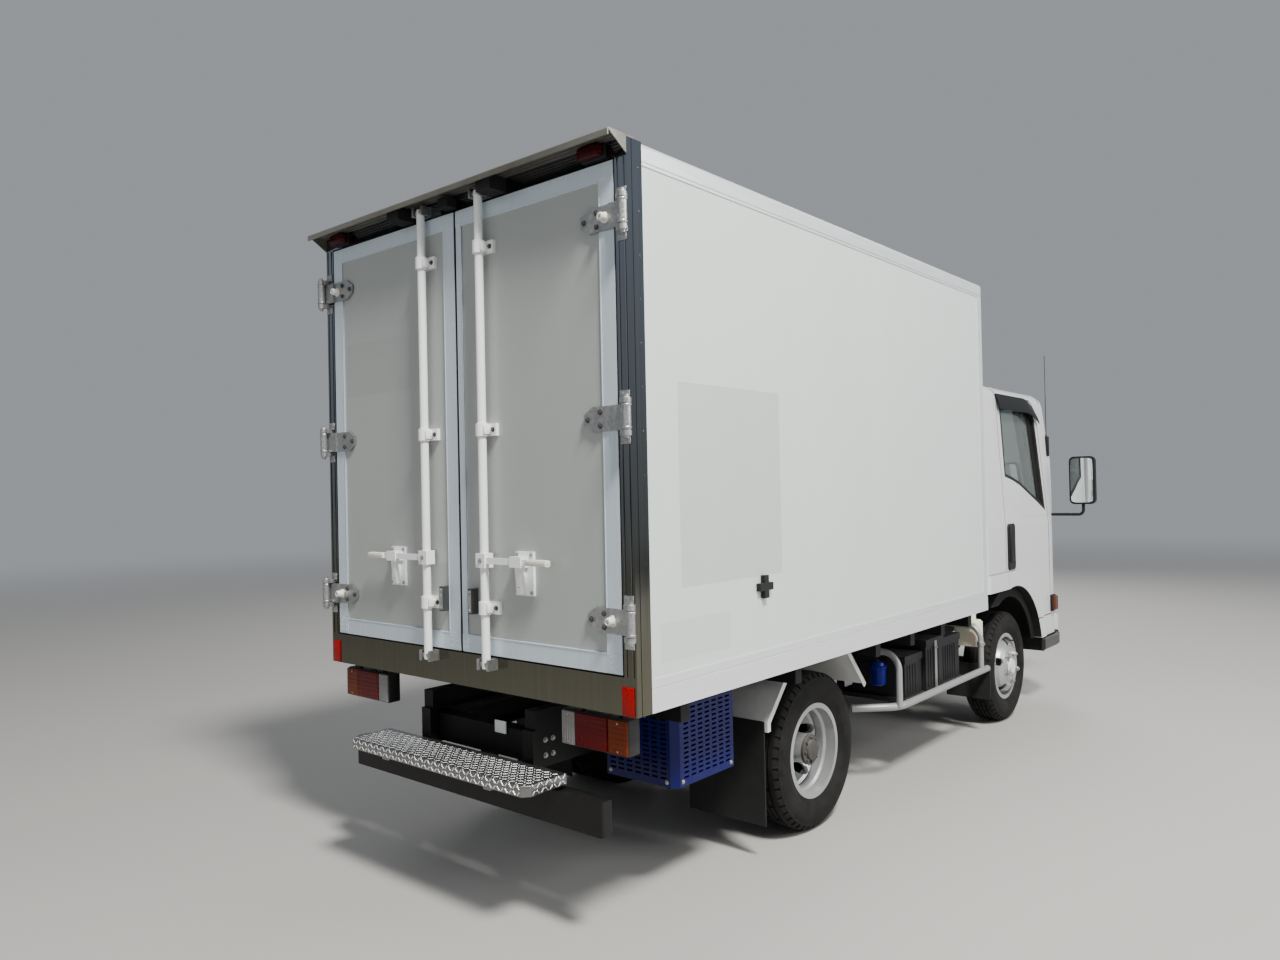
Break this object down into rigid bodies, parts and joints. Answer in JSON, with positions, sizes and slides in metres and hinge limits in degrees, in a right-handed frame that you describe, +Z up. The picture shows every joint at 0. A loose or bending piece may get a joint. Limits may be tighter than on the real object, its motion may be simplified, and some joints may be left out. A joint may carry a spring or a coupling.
{
  "type": "refrigerated truck",
  "caption": "Cab-over refrigerated truck with an insulated box body, rear double doors with lock bars, tilting cab, steered front wheels and twin rear wheels.",
  "frame": {"origin": "on the ground, at the middle of the vehicle's length and width", "axes": "+X forward, +Y to the vehicle's left, +Z up"},
  "size_m": [5.299, 2.31, 2.822],
  "materials": {
    "aluminium_extrusion": "anodised",
    "axle_paint": "satin",
    "black_plastic": "matt",
    "blue_paint": "gloss",
    "box_skin": "satin",
    "bumper_plastic": "satin",
    "cab_paint": "gloss",
    "cabin_plastic": "grained",
    "chassis_paint": "satin",
    "clear_lens": "clear",
    "engine_iron": "matt",
    "exhaust_steel": "weathered",
    "glass": "clear",
    "grille_plastic": "satin",
    "hinge_zinc": "zinc plated",
    "lamp_lens": "moulded lens",
    "lock_paint": "satin",
    "mirror_plastic": "grained",
    "pale_plastic": "translucent",
    "rubber": "matt",
    "seat_fabric": "woven",
    "silver_paint": "satin",
    "spring_steel": "matt",
    "stainless": "polished",
    "tank_steel": "satin",
    "tread_aluminium": "bright tread plate",
    "tyre": "matt",
    "unit_plastic": "satin",
    "wheel_paint": "satin",
    "white_paint": "satin"
  },
  "bodies": {
    "root": {"battery_box": "black_plastic", "box_floor": "box_skin", "box_front": "box_skin", "box_rails": "aluminium_extrusion", "box_roof": "box_skin", "box_wall_left": "box_skin", "box_wall_right": "box_skin", "chassis_frame": "chassis_paint", "condenser_unit": "blue_paint", "door_stops": "rubber", "driveline": "axle_paint", "engine": "engine_iron", "evaporator": "unit_plastic", "exhaust": "exhaust_steel", "floor_bearers": "chassis_paint", "frame_fittings": "hinge_zinc", "front_axle": "axle_paint", "front_bumper": "bumper_plastic", "fuel_tank": "tank_steel", "leaf_springs": "spring_steel", "mud_flaps": "rubber", "rain_hood": "aluminium_extrusion", "rear_axle": "axle_paint", "rear_frame": "stainless", "rear_lamps": "lamp_lens", "rear_mudguards": "white_paint", "rear_step": "tread_aluminium", "reservoir": "pale_plastic", "side_guards": "silver_paint", "underrun_bar": "chassis_paint"},
    "cab": {"cab_shell": "cab_paint", "cab_glass": "glass", "headlamps": "clear_lens", "front_grille": "grille_plastic", "dashboard": "cabin_plastic", "seats": "seat_fabric", "steering_wheel": "cabin_plastic", "mirrors": "mirror_plastic", "arch_liners": "black_plastic"},
    "cab_door_left": {"cab_door_left": "cab_paint", "door_glass_left": "glass"},
    "box_door_left": {"box_door_left": "box_skin", "door_hinges_left": "hinge_zinc", "lock_gear_left": "lock_paint"},
    "knuckle_left": {"knuckle_left": "axle_paint"},
    "front_wheel_left": {"front_wheel_left": "wheel_paint", "front_tyre_left": "tyre"},
    "rear_wheels_left": {"rear_wheels_left": "wheel_paint", "rear_tyres_left": "tyre"},
    "cab_door_right": {"cab_door_right": "cab_paint", "door_glass_right": "glass"},
    "box_door_right": {"box_door_right": "box_skin", "door_hinges_right": "hinge_zinc", "lock_gear_right": "lock_paint"},
    "knuckle_right": {"knuckle_right": "axle_paint"},
    "front_wheel_right": {"front_wheel_right": "wheel_paint", "front_tyre_right": "tyre"},
    "rear_wheels_right": {"rear_wheels_right": "wheel_paint", "rear_tyres_right": "tyre"}
  },
  "joints": [
    {"name": "cab_tilt", "type": "hinge", "parent": "root", "child": "cab", "pos_m": [2.4455, 0, 0.74], "axis": [0, 1, 0], "range_deg": [0, 40]},
    {"name": "cab_door_left_swing", "type": "hinge", "parent": "cab", "child": "cab_door_left", "pos_m": [2.3055, 0.8525, 1.3], "axis": [0, 0, -1], "range_deg": [0, 70]},
    {"name": "box_door_left_swing", "type": "hinge", "parent": "root", "child": "box_door_left", "pos_m": [-2.5125, 0.942, 1.86], "axis": [0, 0, -1], "range_deg": [0, 265]},
    {"name": "steer_left", "type": "hinge", "parent": "root", "child": "knuckle_left", "pos_m": [1.5355, 0.56, 0.366], "axis": [0, 0, 1], "range_deg": [-35, 35]},
    {"name": "front_wheel_left_spin", "type": "hinge", "parent": "knuckle_left", "child": "front_wheel_left", "pos_m": [1.5355, 0.705, 0.366], "axis": [0, 1, 0], "continuous": true},
    {"name": "rear_wheels_left_spin", "type": "hinge", "parent": "root", "child": "rear_wheels_left", "pos_m": [-1.0045, 0.687, 0.366], "axis": [0, 1, 0], "continuous": true},
    {"name": "cab_door_right_swing", "type": "hinge", "parent": "cab", "child": "cab_door_right", "pos_m": [2.3055, -0.8525, 1.3], "axis": [0, 0, 1], "range_deg": [0, 70]},
    {"name": "box_door_right_swing", "type": "hinge", "parent": "root", "child": "box_door_right", "pos_m": [-2.5125, -0.942, 1.86], "axis": [0, 0, 1], "range_deg": [0, 265]},
    {"name": "steer_right", "type": "hinge", "parent": "root", "child": "knuckle_right", "pos_m": [1.5355, -0.56, 0.366], "axis": [0, 0, 1], "range_deg": [-35, 35]},
    {"name": "front_wheel_right_spin", "type": "hinge", "parent": "knuckle_right", "child": "front_wheel_right", "pos_m": [1.5355, -0.705, 0.366], "axis": [0, 1, 0], "continuous": true},
    {"name": "rear_wheels_right_spin", "type": "hinge", "parent": "root", "child": "rear_wheels_right", "pos_m": [-1.0045, -0.687, 0.366], "axis": [0, 1, 0], "continuous": true}
  ],
  "couplings": [
    {"joint": "steer_right", "follows": "steer_left", "ratio": 1}
  ]
}
